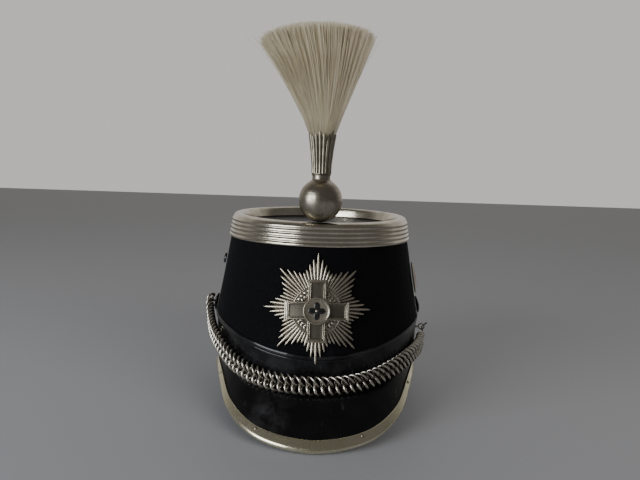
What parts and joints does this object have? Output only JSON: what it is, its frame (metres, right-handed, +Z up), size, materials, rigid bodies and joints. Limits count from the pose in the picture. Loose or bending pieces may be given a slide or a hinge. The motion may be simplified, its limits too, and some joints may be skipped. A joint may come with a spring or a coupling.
{
  "type": "shako hat",
  "caption": "Parade shako of black felt with a ribbed metal band, leather base and peak, rayed star badge, chain across the front and a flared plume on a ball.",
  "frame": {"origin": "on the surface the hat rests on, under the middle of its whole outline", "axes": "+Z up, the peak and the badge face -Y, the cockade is on the +X side"},
  "size_m": [0.1943, 0.2471, 0.2869],
  "materials": {
    "felt": "fine black wool felt, matt",
    "leather": "polished black leather, lightly scratched",
    "nickel": "polished nickel silver with a warm tarnish",
    "old_silver": "worn nickel silver, dark in its hollows",
    "binding": "yellowed nickel silver",
    "lacquer": "black lacquer, satin",
    "horsehair": "pale undyed horsehair",
    "cockade": "red and pale pleated ribbon"
  },
  "bodies": {
    "root": {"crown_body": "felt", "crown_top": "leather", "base_band": "leather", "peak": "leather", "top_band": "nickel", "peak_binding": "binding", "peak_rivet_1": "old_silver", "peak_rivet_2": "old_silver", "peak_rivet_3": "old_silver", "peak_rivet_4": "old_silver", "badge_star": "nickel", "badge_cross": "nickel", "badge_roundel": "nickel", "badge_flower": "lacquer", "plume_ball": "old_silver", "plume_socket": "old_silver", "plume": "horsehair", "chin_chain": "old_silver", "chain_catch": "nickel", "chain_ring": "old_silver", "chain_hook": "lacquer", "side_boss_left": "lacquer", "side_boss_right": "lacquer", "side_vent": "lacquer", "cockade": "cockade"}
  },
  "joints": []
}
